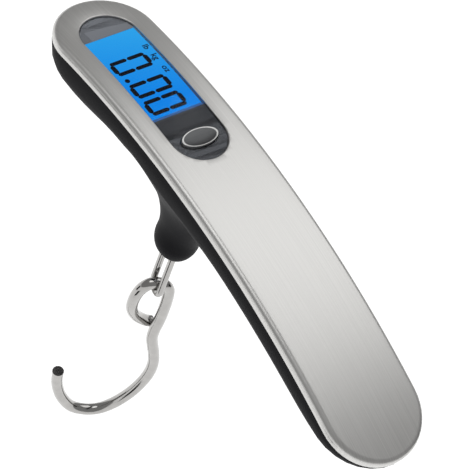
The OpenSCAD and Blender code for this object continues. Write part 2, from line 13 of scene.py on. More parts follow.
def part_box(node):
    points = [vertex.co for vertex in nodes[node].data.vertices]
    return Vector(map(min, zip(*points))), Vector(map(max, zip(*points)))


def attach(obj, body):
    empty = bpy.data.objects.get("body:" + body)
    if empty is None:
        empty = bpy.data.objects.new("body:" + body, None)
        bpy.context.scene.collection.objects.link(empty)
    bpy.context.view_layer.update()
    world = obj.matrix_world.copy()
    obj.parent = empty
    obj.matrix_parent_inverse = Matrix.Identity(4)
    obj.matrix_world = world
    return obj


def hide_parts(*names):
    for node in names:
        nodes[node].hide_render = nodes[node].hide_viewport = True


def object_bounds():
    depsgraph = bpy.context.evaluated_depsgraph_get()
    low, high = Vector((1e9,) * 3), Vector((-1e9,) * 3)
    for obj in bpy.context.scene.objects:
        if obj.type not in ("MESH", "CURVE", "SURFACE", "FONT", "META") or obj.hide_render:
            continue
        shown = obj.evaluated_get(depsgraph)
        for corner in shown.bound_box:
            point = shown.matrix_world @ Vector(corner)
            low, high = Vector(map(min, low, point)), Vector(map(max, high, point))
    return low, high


bl_info = {
    "name": "Digital Luggage Scale",
    "version": (1, 0, 0),
    "blender": (4, 5, 0),
    "location": "View3D > Sidebar > Luggage Scale",
    "description": "Builds the visible pieces of a hand-held luggage scale",
    "category": "Object",
}

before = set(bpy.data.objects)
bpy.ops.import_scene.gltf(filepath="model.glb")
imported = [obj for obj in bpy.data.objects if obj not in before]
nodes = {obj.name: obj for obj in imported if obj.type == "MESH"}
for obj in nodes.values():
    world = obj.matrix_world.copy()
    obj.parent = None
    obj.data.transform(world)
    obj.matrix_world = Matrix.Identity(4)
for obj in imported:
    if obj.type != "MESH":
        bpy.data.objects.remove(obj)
cad_low, cad_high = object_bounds()

MM = 0.001
# Points closer together than this count as one
SAME_PLACE = 1e-7
# Height of the shapes that cut holes through the panel's sheets
CUT_HEIGHT = 4 * MM
# Far corner of the steel face: half of the handle's length and width
FACE_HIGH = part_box("face_plate")[1]

# Soft lamps that face the object: name, place, size and brightness as a share of the key glow
SOFTBOXES = (
    ("key", (-0.25, 0.55, 0.86), 0.76, 1.0),
    ("edge", (-0.38, -0.42, 0.92), 0.6, 1.3),
)

# Dark cards that the steel and the wire reflect: name, place and size
CARDS = (
    ("flag_left", (-0.25, -0.35, -0.2), 0.18),
    ("flag_right", (0.2, 0.32, -0.02), 0.16),
    ("flag_low", (0.05, -0.3, -0.3), 0.14),
)


# ---------------------------------------------------------------- settings


def length_setting(name, description, size, least=None):
    """A length, given in millimetres, with the least that it may be."""
    limit = {} if least is None else {"min": least * MM}
    return FloatProperty(
        name=name, description=description, default=size * MM, unit="LENGTH", **limit)


def colour_setting(name, description, default):
    return FloatVectorProperty(
        name=name, description=description, subtype="COLOR", size=3, default=default,
        min=0, max=1)


class HandleSettings(PropertyGroup):
    """Sizes of the arched handle"""

    arch_radius: length_setting(
        "Arch radius", "Radius of the lengthwise arch of the face", 256, least=100)
    edge_radius: length_setting(
        "Edge radius", "Rounding between the face and its side band", 1.6, least=0.5)
    band_height: length_setting(
        "Band height", "Height of the steel band round the side", 2.9, least=1)
    steel_thickness: length_setting(
        "Steel thickness", "Thickness of the pressed steel", 0.8, least=0.3)
    strip_length: length_setting(
        "Strip length", "Length of the strips that follow the arch", 2.0, least=0.5)
    neck_smoothing: IntProperty(
        name="Neck smoothing", description="Passes that blend the neck into the underside",
        default=80, min=0, max=200)


class DisplaySettings(PropertyGroup):
    """Sizes of the panel, the display and the button"""

    panel_start: length_setting("Panel start", "Outer end of the panel, along the arch", -70.2)
    panel_end: length_setting("Panel end", "Inner end of the panel, along the arch", -13.7)
    panel_half_width: length_setting("Panel half width", "Half width of the panel", 8.3, least=2)
    window_centre: length_setting(
        "Window centre", "Middle of the lit window, along the arch", -46.8)
    window_length: length_setting("Window length", "Length of the lit window", 31.4, least=5)
    digit_height: length_setting("Digit height", "Height of one digit", 11.7, least=2)
    digit_width: length_setting("Digit width", "Width of one digit", 5.4, least=1)
    stroke: length_setting("Stroke", "Width of one lit segment", 1.25, least=0.2)
    lens_top: length_setting(
        "Lens top", "Depth of the clear panel's top under the face", 0.1, least=0)
    lens_thickness: length_setting("Lens thickness", "Thickness of the clear panel", 0.6, least=0.1)
    film_thickness: length_setting(
        "Film thickness", "Thickness of the print behind the clear panel", 0.1, least=0.02)
    button_place: length_setting("Button place", "Place of the button, along the arch", -20.9)
    button_half_length: length_setting(
        "Button half length", "Half size of the button across the handle", 5.6, least=1)
    button_half_width: length_setting(
        "Button half width", "Half size of the button along the handle", 2.8, least=1)


class HookSettings(PropertyGroup):
    """Sizes of the bent wire pieces"""

    hook_wire: length_setting("Hook wire", "Diameter of the hook's wire", 3.4, least=1)
    link_wire: length_setting("Link wire", "Diameter of the link's wire", 2.0, least=1)
    link_pitch: length_setting(
        "Link pitch", "Distance between the centres of the link's legs", 5.8, least=2)
    link_drop: length_setting(
        "Link drop", "From the pin's axis to the centre of the link's lower wire", 22.7, least=2)
    pin_rise: length_setting(
        "Pin rise", "From the pin's axis to the centre of the link's upper wire", 2.28, least=1)
    link_turn: FloatProperty(
        name="Link turn", description="Turn of the link about the neck",
        default=math.radians(-20), subtype="ANGLE")
    link_tilt: FloatProperty(
        name="Link tilt", description="Lean of the hanging link",
        default=math.radians(6.8), subtype="ANGLE")
    hook_turn: FloatProperty(
        name="Hook turn", description="Turn of the hook's plane about the upright",
        default=math.radians(62), subtype="ANGLE")
    play: length_setting("Play", "Clearance between the hook's eye and the link", 0.15)
    steps: IntProperty(
        name="Steps", description="Rings of wire between two points of the hook's path",
        default=8, min=2, max=24)
    sides: IntProperty(
        name="Sides", description="Sides of the wire", default=28, min=8, max=64)


class FinishSettings(PropertyGroup):
    """Colours of the visible finishes"""

    steel: colour_setting("Steel", "Brushed steel of the face", (0.61, 0.605, 0.59))
    chrome: colour_setting("Chrome", "Polished wire of the hook and link", (0.42, 0.412, 0.4))
    shell: colour_setting("Shell", "Moulded plastic of the lower shell", (0.008, 0.008, 0.0095))
    panel: colour_setting("Panel", "Print behind the clear panel", (0.175, 0.185, 0.205))
    display: colour_setting("Display", "Lit display", (0.0, 0.27, 0.95))
    digits: colour_setting("Digits", "Dark segments of the display", (0.003, 0.006, 0.016))


class StudioSettings(PropertyGroup):
    """Camera and lights"""

    camera_place: FloatVectorProperty(
        name="Camera place", description="Where the camera stands", subtype="TRANSLATION",
        unit="LENGTH", size=3, default=(0.2345, -0.3575, 0.5246))
    camera_aim: FloatVectorProperty(
        name="Camera aim", description="Point in the middle of the view",
        subtype="TRANSLATION", unit="LENGTH", size=3, default=(0.00581, -0.00499, -0.00617))
    camera_up: FloatVectorProperty(
        name="Camera up", description="Direction that points up in the view",
        subtype="DIRECTION", size=3, default=(-0.77, 0.3262, 0.5484))
    camera_lens: FloatProperty(
        name="Camera lens", description="Focal length on a 36 mm wide sensor, in mm",
        default=204.54, min=10)
    floor_drop: FloatProperty(
        name="Floor drop", description="How far the floor lies under the hook",
        default=0.25, min=0, unit="LENGTH")
    key_glow: FloatProperty(
        name="Key glow", description="Brightness of the large soft light",
        default=1.2, min=0)
    surroundings: FloatProperty(
        name="Surroundings", description="Brightness of the room round the object",
        default=0.32, min=0)
    floor_glow: FloatProperty(
        name="Floor glow", description="Light that comes through the floor's paper",
        default=0.75, min=0)


# ---------------------------------------------------------------- materials


def material(name, colour, metallic=0.0, roughness=0.5, **sockets):
    """A Principled material; further sockets are given by name, with _ for a space."""
    made = bpy.data.materials.new(name)
    made.use_nodes = True
    shader = made.node_tree.nodes["Principled BSDF"]
    shader.inputs["Base Color"].default_value = (*colour[:3], 1.0)
    shader.inputs["Metallic"].default_value = metallic
    shader.inputs["Roughness"].default_value = roughness
    for socket, value in sockets.items():
        shader.inputs[socket.replace("_", " ")].default_value = value
    return made


def shader_of(made):
    return made.node_tree.nodes["Principled BSDF"]


def noise(made, scale, stretch=(1.0, 1.0, 1.0), detail=3.0, roughness=0.5):
    """Noise on Object coordinates, stretched by a Mapping node; returns its value socket."""
    tree = made.node_tree
    coordinates = tree.nodes.new("ShaderNodeTexCoord")
    mapping = tree.nodes.new("ShaderNodeMapping")
    texture = tree.nodes.new("ShaderNodeTexNoise")
    mapping.inputs["Scale"].default_value = stretch
    texture.inputs["Scale"].default_value = scale
    texture.inputs["Detail"].default_value = detail
    texture.inputs["Roughness"].default_value = roughness
    tree.links.new(coordinates.outputs["Object"], mapping.inputs["Vector"])
    tree.links.new(mapping.outputs["Vector"], texture.inputs["Vector"])
    return texture.outputs["Fac"]


def placed_coordinates(made, place, size, turn=0.0):
    """Object coordinates measured from a place, in units of size; returns the vector socket."""
    tree = made.node_tree
    coordinates = tree.nodes.new("ShaderNodeTexCoord")
    mapping = tree.nodes.new("ShaderNodeMapping")
    mapping.vector_type = "TEXTURE"
    mapping.inputs["Location"].default_value = place
    mapping.inputs["Rotation"].default_value = (0, 0, turn)
    mapping.inputs["Scale"].default_value = size
    tree.links.new(coordinates.outputs["Object"], mapping.inputs["Vector"])
    return mapping.outputs["Vector"]


def gradient(made, vector):
    """Rises from 0 to 1 along the first coordinate; returns the value socket."""
    shade = made.node_tree.nodes.new("ShaderNodeTexGradient")
    made.node_tree.links.new(vector, shade.inputs["Vector"])
    return shade.outputs["Fac"]


def ramp(made, source, low, high, start=0.3, end=0.7):
    """Turns a value socket into a colour between low and high; returns the colour socket."""
    node = made.node_tree.nodes.new("ShaderNodeValToRGB")
    node.color_ramp.elements[0].position = start
    node.color_ramp.elements[1].position = end
    node.color_ramp.elements[0].color = (*low, 1.0)
    node.color_ramp.elements[1].color = (*high, 1.0)
    made.node_tree.links.new(source, node.inputs["Fac"])
    return node.outputs["Color"]


def spread(made, source, low, high):
    """Maps a 0 to 1 value socket onto low to high; returns the value socket."""
    node = made.node_tree.nodes.new("ShaderNodeMapRange")
    node.inputs["To Min"].default_value = low
    node.inputs["To Max"].default_value = high
    made.node_tree.links.new(source, node.inputs["Value"])
    return node.outputs["Result"]


def bump(made, source, strength, distance):
    node = made.node_tree.nodes.new("ShaderNodeBump")
    node.inputs["Strength"].default_value = strength
    node.inputs["Distance"].default_value = distance
    made.node_tree.links.new(source, node.inputs["Height"])
    made.node_tree.links.new(node.outputs["Normal"], shader_of(made).inputs["Normal"])


def tone(colour, factor):
    return tuple(min(1.0, channel * factor) for channel in colour[:3])


def feed(made, socket, source):
    made.node_tree.links.new(source, shader_of(made).inputs[socket])


def brushed(name, colour, stretch, roughness=0.36, depth=0.012 * MM, contrast=0.1):
    """Metal with fine lines; stretch is small along the lines and large across them."""
    made = material(name, colour, metallic=1.0, roughness=roughness)
    lines = noise(made, 1.0, stretch, detail=4.0, roughness=0.65)
    dark = tone(colour, 1 - contrast)
    light = tone(colour, 1 + contrast)
    feed(made, "Base Color", ramp(made, lines, dark, light))
    feed(made, "Roughness", spread(made, lines, roughness - 0.07, roughness + 0.09))
    bump(made, lines, 0.35, depth)
    return made


def moulded(name, colour, roughness=0.5, grain=5200.0, depth=0.012 * MM, gloss=0.5):
    """Moulded plastic with a fine spark-eroded grain and faint flow marks."""
    made = material(name, colour, roughness=roughness, Specular_IOR_Level=gloss)
    flow = noise(made, 60.0, detail=2.0)
    feed(made, "Base Color", ramp(made, flow, tone(colour, 0.85), tone(colour, 1.18)))
    feed(made, "Roughness", spread(made, flow, roughness - 0.05, roughness + 0.06))
    bump(made, noise(made, grain, detail=2.0), 0.3, depth)
    return made


def polished(name, colour, roughness=0.1):
    """Plated wire: mirror bright, with faint drawing lines and handling marks."""
    made = material(name, colour, metallic=1.0, roughness=roughness)
    marks = noise(made, 420.0, detail=4.0)
    feed(made, "Roughness", spread(made, marks, roughness - 0.04, roughness + 0.09))
    feed(made, "Base Color", ramp(made, marks, tone(colour, 0.93), tone(colour, 1.05)))
    bump(made, noise(made, 160.0, detail=1.0), 0.12, 0.05 * MM)
    return made


def plated(name, colour, roughness=0.3):
    """Small turned or pressed metal parts."""
    made = material(name, colour, metallic=1.0, roughness=roughness)
    wear = noise(made, 900.0, detail=3.0)
    feed(made, "Base Color", ramp(made, wear, tone(colour, 0.8), tone(colour, 1.1)))
    feed(made, "Roughness", spread(made, wear, roughness - 0.08, roughness + 0.14))
    return made


def coated(name, colour, roughness=0.3):
    """Glossy lacquer or resin over a slightly uneven ground."""
    made = material(name, colour, roughness=roughness, Coat_Weight=0.3, Coat_Roughness=0.1)
    ground = noise(made, 700.0, detail=3.0)
    feed(made, "Base Color", ramp(made, ground, tone(colour, 0.75), tone(colour, 1.25)))
    bump(made, ground, 0.2, 0.02 * MM)
    return made


def clear_lens(name):
    """Thin clear acrylic over the print and the display."""
    made = material(name, (0.02, 0.022, 0.026), roughness=0.06, Alpha=0.14, IOR=1.49)
    feed(made, "Roughness", spread(made, noise(made, 300.0), 0.03, 0.09))
    return made


def painted_reflection_print(name, colour, display):
    """Dark print with a faint speckle, and a painted reflection: its colour is made lighter towards
    the panel's outer end.
    """
    made = material(name, colour, roughness=0.5, Specular_IOR_Level=0.1)
    along = placed_coordinates(made, (display.panel_start, 0, 0), (display.window_length, 1, 1))
    shade = gradient(made, along)
    # Painted reflection: the print is 2.3 times as light at the outer end and fades to its own
    # colour inwards.
    feed(made, "Base Color", ramp(made, shade, tone(colour, 2.3), colour[:3], 0.1, 1.0))
    feed(made, "Roughness", spread(made, noise(made, 2600.0), 0.45, 0.55))
    return made


def lit_display(name, colour, display):
    """Blue backlit sheet with a painted highlight: its glow is made brighter towards the key lamp's
    side and dimmer at the far corner.
    """
    made = material(name, tone(colour, 0.1), roughness=0.5, Specular_IOR_Level=0.05)
    half = display.window_length / 2
    corner = (display.window_centre - half, display.panel_half_width, 0)
    across = placed_coordinates(made, corner, (2.2 * half, 1, 1), math.radians(-24))
    # Painted highlight: this lighter blue glow sits at the corner towards the key lamp.
    bright = (0.025, 0.45, 1.0)
    feed(made, "Emission Color", ramp(made, gradient(made, across), bright, colour[:3], 0.0, 0.75))
    shader_of(made).inputs["Emission Strength"].default_value = 1.05
    return made


def rimmed_button(display, handle):
    """Grey lacquered metal with a painted highlight: a light grey ring painted round its rim."""
    grey = (0.1, 0.102, 0.105)
    # Painted highlight: the light grey colour of the ring round the rim.
    painted_rim_highlight = (0.6, 0.6, 0.59, 1)
    rim_start = 0.87
    rim_end = 0.92
    made = brushed("button_metal", grey, (5200, 40, 40), roughness=0.32, contrast=0.2)
    tree = made.node_tree
    lines = shader_of(made).inputs["Base Color"].links[0].from_socket
    seat = bend_point(display.button_place, 0, 0, handle.arch_radius, straight_half(handle))
    oval = (display.button_half_width, display.button_half_length, 1)
    length = tree.nodes.new("ShaderNodeVectorMath")
    length.operation = "LENGTH"
    tree.links.new(placed_coordinates(made, (seat.x, 0, 0), oval), length.inputs[0])
    # Mask of the ring that carries the painted highlight.
    rim = ramp(made, length.outputs["Value"], (0, 0, 0), (1, 1, 1), rim_start, rim_end)
    mixed = tree.nodes.new("ShaderNodeMix")
    mixed.data_type = "RGBA"
    mixed.inputs["B"].default_value = painted_rim_highlight
    tree.links.new(rim, mixed.inputs["Factor"])
    tree.links.new(lines, mixed.inputs["A"])
    feed(made, "Base Color", mixed.outputs["Result"])
    return made


def node_finishes():
    """The material of each CAD node that stays visible."""
    steel_screw = plated("screw_steel", (0.5, 0.5, 0.51))
    turned = brushed(
        "turned_steel", (0.5, 0.51, 0.53), (900, 900, 3000), roughness=0.3, contrast=0.2)
    inner = moulded("inner_plastic", (0.03, 0.03, 0.034), roughness=0.6)
    brass = plated("contact_brass", (0.66, 0.5, 0.2), roughness=0.28)
    guide = coated("guide_plastic", (0.8, 0.85, 0.9), roughness=0.4)
    return {
        "mid_frame": inner,
        "switch_body": inner,
        "switch_plunger": moulded("pale_plastic", (0.62, 0.58, 0.5)),
        "light_guide": guide,
        "backlight_leds": guide,
        "zebra_strips": moulded("strip_rubber", (0.07, 0.07, 0.08), roughness=0.8),
        "main_pcb": coated("board_green", (0.012, 0.11, 0.04)),
        "chip_blob": coated("blob_black", (0.008, 0.008, 0.01), roughness=0.2),
        "pcb_screws": steel_screw,
        "coin_cell": brushed("cell_steel", (0.62, 0.63, 0.64), (1800, 900, 900), roughness=0.25),
        "cell_contact_minus": brass,
        "cell_contact_plus": brass,
        "load_plate": plated("plate_steel", (0.5, 0.51, 0.53), roughness=0.4),
        "plate_screws": steel_screw,
        "load_cell": brushed("beam_aluminium", (0.7, 0.71, 0.72), (200, 3000, 3000), contrast=0.15),
        "strain_gauges": coated("gauge_film", (0.45, 0.2, 0.05)),
        "gauge_wires": coated("wire_red", (0.45, 0.03, 0.025), roughness=0.45),
        "load_cell_screws": steel_screw,
        "pull_stud": turned,
        "stud_washer": steel_screw,
        "stud_nut": steel_screw,
        "clevis_pin": turned,
        "case_screws": steel_screw,
    }


# ---------------------------------------------------------------- shaping tools


def straight_half(handle):
    """Arc length from mid-handle to the centre of each round end."""
    radius = handle.arch_radius
    half_length = FACE_HIGH.x
    half_width = FACE_HIGH.y
    reach = math.asin(half_length / math.hypot(radius, half_width)) - math.atan(half_width / radius)
    return reach * radius


def bend_point(run, across, height, radius, end):
    """From a flat layout to the arch: run follows the face, and the round ends stay flat."""
    on_arch = max(-end, min(end, run))
    beyond = run - on_arch
    angle = on_arch / radius
    level = radius + height
    return Vector((
        level * math.sin(angle) + beyond * math.cos(angle),
        across,
        level * math.cos(angle) - beyond * math.sin(angle) - radius,
    ))


def bend(bm, handle):
    end = straight_half(handle)
    for vert in bm.verts:
        vert.co = bend_point(*vert.co, handle.arch_radius, end)


def cut_strips(bm, low, high, step):
    """Cuts a flat layout across its length, so that it can follow the arch."""
    count = math.ceil((high - low) / step)
    for index in range(1, count):
        place = low + (high - low) * index / count
        bmesh.ops.bisect_plane(
            bm, geom=bm.verts[:] + bm.edges[:] + bm.faces[:], dist=SAME_PLACE,
            plane_co=(place, 0, 0), plane_no=(1, 0, 0))


def stadium(bm, start, end, half_width, height, arc_steps=24):
    """A closed loop of edges: a strip from start to end with round ends. Returns its edges."""
    corners = []
    for centre, first in ((end - half_width, -90), (start + half_width, 90)):
        for index in range(arc_steps + 1):
            angle = math.radians(first + 180 * index / arc_steps)
            corners.append(bm.verts.new(
                (centre + half_width * math.cos(angle), half_width * math.sin(angle), height)))
    return [bm.edges.new((a, b)) for a, b in zip(corners, corners[1:] + corners[:1])]


def extrude_down(bm, edges, depth):
    """Extrudes a loop straight down by depth and returns the new loop's edges."""
    out = bmesh.ops.extrude_edge_only(bm, edges=edges)["geom"]
    moved = [v for v in out if isinstance(v, bmesh.types.BMVert)]
    bmesh.ops.translate(bm, vec=(0, 0, -depth), verts=moved)
    return [e for e in out if isinstance(e, bmesh.types.BMEdge)]


def ease(bm, edges, size, segments):
    """Rounds the given edges."""
    bmesh.ops.bevel(
        bm, geom=edges, offset=size, segments=segments, profile=0.5, affect="EDGES",
        material=-1, offset_type="OFFSET")


def edges_at(bm, height):
    """The edges that lie at a height of the flat layout."""
    return [e for e in bm.edges if all(abs(v.co.z - height) < SAME_PLACE for v in e.verts)]


def lipped_slab(bm, start, end, half_width, top, thickness, lip=0.0):
    """A closed stadium slab, whose top rim is eased when a lip is given."""
    edges = stadium(bm, start, end, half_width, top)
    bmesh.ops.contextual_create(bm, geom=edges)
    low = extrude_down(bm, edges, thickness)
    bmesh.ops.contextual_create(bm, geom=low)
    if lip:
        ease(bm, edges_at(bm, top), lip, 3)


def outward(bm):
    """Welds a closed mesh and points its faces out."""
    bmesh.ops.remove_doubles(bm, verts=bm.verts[:], dist=SAME_PLACE)
    bmesh.ops.recalc_face_normals(bm, faces=bm.faces[:])


def sharpen(mesh, angle):
    """Smooth shading, with edges above the given angle kept crisp."""
    mesh.polygons.foreach_set("use_smooth", [True] * len(mesh.polygons))
    mesh.set_sharp_from_angle(angle=math.radians(angle))


def add_object(name, data):
    """Puts an object with the given data into the scene."""
    obj = bpy.data.objects.new(name, data)
    bpy.context.scene.collection.objects.link(obj)
    return obj


def add_mesh(name, bm):
    """Puts a finished bmesh into the scene as an object."""
    mesh = bpy.data.meshes.new(name)
    bm.to_mesh(mesh)
    bm.free()
    return add_object(name, mesh)


def piece(bm, name, made, body, angle=32.0):
    """Turns a finished bmesh into a piece that rides on a body."""
    obj = add_mesh(name, bm)
    sharpen(obj.data, angle)
    obj.data.materials.append(made)
    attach(obj, body)
    return obj


def settle(obj, name):
    """Applies an object's modifiers and returns the finished mesh; the object is removed."""
    graph = bpy.context.evaluated_depsgraph_get()
    mesh = bpy.data.meshes.new_from_object(obj.evaluated_get(graph))
    mesh.name = name
    bpy.data.objects.remove(obj)
    return mesh


def middle_of(node):
    """The middle of a CAD node's box."""
    low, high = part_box(node)
    return low.lerp(high, 0.5)


def welded_copy(node):
    """A merged bmesh copy of a CAD node's mesh."""
    bm = bmesh.new()
    bm.from_mesh(nodes[node].data)
    bmesh.ops.remove_doubles(bm, verts=bm.verts[:], dist=2e-6)
    bmesh.ops.dissolve_degenerate(bm, edges=bm.edges[:], dist=1e-6)
    return bm


# ---------------------------------------------------------------- wire


def smooth_path(points, steps):
    """Catmull-Rom curve through the points, with steps pieces between two points."""
    last = len(points) - 1
    path = []
    for index in range(last):
        a, b, c, d = (points[max(0, min(last, index + k))] for k in (-1, 0, 1, 2))
        for step in range(steps):
            t = step / steps
            path.append(0.5 * (2 * b + (c - a) * t + (2 * a - 5 * b + 4 * c - d) * t * t
                               + (3 * b - a - 3 * c + d) * t * t * t))
    path.append(points[last])
    return path


def wire_mesh(path, radius, sides, closed, name):
    """Round wire along a path, as a mesh made from a bevelled curve."""
    curve = bpy.data.curves.new(name, "CURVE")
    curve.dimensions = "3D"
    curve.bevel_depth = radius
    curve.bevel_resolution = sides // 4 - 2
    curve.use_fill_caps = not closed
    curve.twist_mode = "MINIMUM"
    spline = curve.splines.new("POLY")
    spline.points.add(len(path) - 1)
    for point, co in zip(spline.points, path):
        point.co = (*co, 1.0)
    spline.use_cyclic_u = closed
    mesh = settle(add_object(name, curve), name)
    bm = bmesh.new()
    bm.from_mesh(mesh)
    outward(bm)
    bpy.data.meshes.remove(mesh)
    return bm


def ease_wire_ends(bm, size):
    """Rounds the rims of the two cut ends of a wire."""
    caps = [face for face in bm.faces if len(face.verts) > 4]
    rims = list({edge for face in caps for edge in face.edges})
    ease(bm, rims, size, 3)


# ---------------------------------------------------------------- operators


class PieceOperator:
    """What the operators that make pieces share."""

    bl_options = {"REGISTER", "UNDO"}

    def execute(self, context):
        self.build(context.scene)
        return {"FINISHED"}


class SCALE_OT_face(PieceOperator, Operator):
    """Make the pressed steel face with its side band and panel opening"""

    bl_idname = "luggage_scale.face"
    bl_label = "Steel face"

    def build(self, scene):
        handle = scene.scale_handle
        display = scene.scale_display
        steel = handle.steel_thickness
        end = straight_half(handle)
        tip = end + FACE_HIGH.y
        bm = bmesh.new()
        outer = stadium(bm, -tip, tip, FACE_HIGH.y, 0)
        hole = stadium(bm, display.panel_start, display.panel_end, display.panel_half_width, 0)
        bmesh.ops.bridge_loops(bm, edges=outer + hole)
        band = extrude_down(bm, outer, handle.band_height)
        extrude_down(bm, hole, steel)
        self.line_inside(bm, band, tip, handle)
        outward(bm)
        self.round_rims(bm, handle)
        cut_strips(bm, -end, end, handle.strip_length)
        bend(bm, handle)
        made = brushed("brushed_face", scene.scale_finish.steel, (18, 5200, 18))
        cover = piece(bm, "face_skin", made, "handle")
        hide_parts("face_plate")

    def line_inside(self, bm, band, tip, handle):
        """Turns the band's lower rim in and runs the steel's inner side up to the face."""
        steel = handle.steel_thickness
        half = FACE_HIGH.y - steel
        rim = stadium(bm, steel - tip, tip - steel, half, -handle.band_height)
        bmesh.ops.bridge_loops(bm, edges=band + rim)
        up = extrude_down(bm, rim, steel - handle.band_height)
        hole = [e for e in bm.edges if e.is_boundary and e not in up]
        bmesh.ops.bridge_loops(bm, edges=up + hole)

    def round_rims(self, bm, handle):
        """Rounds the face's outer edge, and eases the opening and the band's lower rim."""
        inside = FACE_HIGH.y - handle.steel_thickness / 2

        def rim(height, outer):
            found = []
            for edge in edges_at(bm, height):
                sharp = len(edge.link_faces) == 2 and edge.calc_face_angle() > math.radians(60)
                widest = max(self.offset(v.co, handle) for v in edge.verts)
                if sharp and (widest > inside) == outer:
                    found.append(edge)
            return found

        ease(bm, rim(0, True), handle.edge_radius, 7)
        ease(bm, rim(0, False), 0.3 * MM, 3)
        ease(bm, rim(-handle.band_height, True), 0.25 * MM, 3)

    def offset(self, co, handle):
        """Distance of a flat point from the handle's spine."""
        beyond = max(0.0, abs(co.x) - straight_half(handle))
        return math.hypot(beyond, co.y)


class SCALE_OT_panel(PieceOperator, Operator):
    """Make the clear panel, the print behind it and the lit display"""

    bl_idname = "luggage_scale.panel"
    bl_label = "Display panel"

    gap: length_setting("Gap", "Clearance round the panel", 0.1)

    def build(self, scene):
        handle = scene.scale_handle
        display = scene.scale_display
        finish = scene.scale_finish
        print_top = -display.lens_top - display.lens_thickness
        start = display.panel_start + self.gap
        end = display.panel_end - self.gap
        half = display.panel_half_width - self.gap

        bm = bmesh.new()
        lipped_slab(bm, start, end, half, -display.lens_top, display.lens_thickness, lip=0.12 * MM)
        self.finish_sheet(bm, handle)
        lens = piece(bm, "panel_lens", clear_lens("clear_lens"), "handle")
        self.open_button(lens, display, handle)
        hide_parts("lens_panel")

        bm = bmesh.new()
        lipped_slab(bm, start, end, half, print_top, display.film_thickness)
        self.finish_sheet(bm, handle)
        # The print's colour carries a painted reflection, lighter at the panel's outer end.
        made = painted_reflection_print("grey_film", finish.panel, display)
        film = piece(bm, "panel_print", made, "handle")
        self.open_window(film, display, handle)
        self.open_button(film, display, handle)
        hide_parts("mask_film")

        bm = bmesh.new()
        self.display_block(bm, display, handle, print_top - display.film_thickness)
        made = lit_display("blue_display", finish.display, display)
        glass = piece(bm, "display_glass", made, "handle")
        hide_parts("lcd_glass")

    def finish_sheet(self, bm, handle):
        end = straight_half(handle)
        outward(bm)
        cut_strips(bm, -end, end, handle.strip_length)
        bend(bm, handle)

    def open_window(self, film, display, handle):
        """Cuts the window through the print."""
        margin = 0.35 * MM
        cutter = bmesh.new()
        bmesh.ops.create_cube(cutter, size=1)
        size = (display.window_length, 2 * (display.panel_half_width - margin), CUT_HEIGHT)
        bmesh.ops.scale(cutter, vec=size, verts=cutter.verts[:])
        self.cut_out(film, cutter, display.window_centre, display, handle)

    def open_button(self, sheet, display, handle):
        """Cuts the button's hole through a sheet of the panel."""
        room = 0.25 * MM
        cutter = bmesh.new()
        bmesh.ops.create_cone(
            cutter, segments=96, radius1=1, radius2=1, depth=CUT_HEIGHT, cap_ends=True)
        grown = (display.button_half_width + room, display.button_half_length + room, 1)
        bmesh.ops.scale(cutter, vec=grown, verts=cutter.verts[:])
        self.cut_out(sheet, cutter, display.button_place, display, handle)

    def cut_out(self, sheet, cutter, place, display, handle):
        """Takes a flat cutter, moved to its place and bent with the handle, out of a sheet."""
        bmesh.ops.translate(cutter, vec=(place, 0, -CUT_HEIGHT / 4), verts=cutter.verts[:])
        cut_strips(cutter, display.panel_start, display.panel_end, handle.strip_length)
        bend(cutter, handle)
        outward(cutter)
        tool = add_mesh("cutter", cutter)
        cut = sheet.modifiers.new("cut", "BOOLEAN")
        cut.operation = "DIFFERENCE"
        cut.object = tool
        cut.solver = "EXACT"
        graph = bpy.context.evaluated_depsgraph_get()
        opened = bpy.data.meshes.new_from_object(sheet.evaluated_get(graph))
        sheet.modifiers.clear()
        sheet.data = opened
        bpy.data.objects.remove(tool)
        sharpen(opened, 30)

    def display_block(self, bm, display, handle, top):
        """The upper part of the display's glass: a slab that follows the print above it."""
        overlap = 0.6 * MM
        clearance = 0.02 * MM
        thickness = 1.5 * MM
        half = display.window_length / 2 + overlap
        low = display.window_centre - half
        size = (2 * half, 2 * (display.panel_half_width - clearance), thickness)
        bmesh.ops.create_cube(bm, size=1)
        bmesh.ops.scale(bm, vec=size, verts=bm.verts[:])
        bmesh.ops.translate(bm, vec=(low + half, 0, top - thickness / 2), verts=bm.verts[:])
        cut_strips(bm, low, low + 2 * half, handle.strip_length)
        bend(bm, handle)


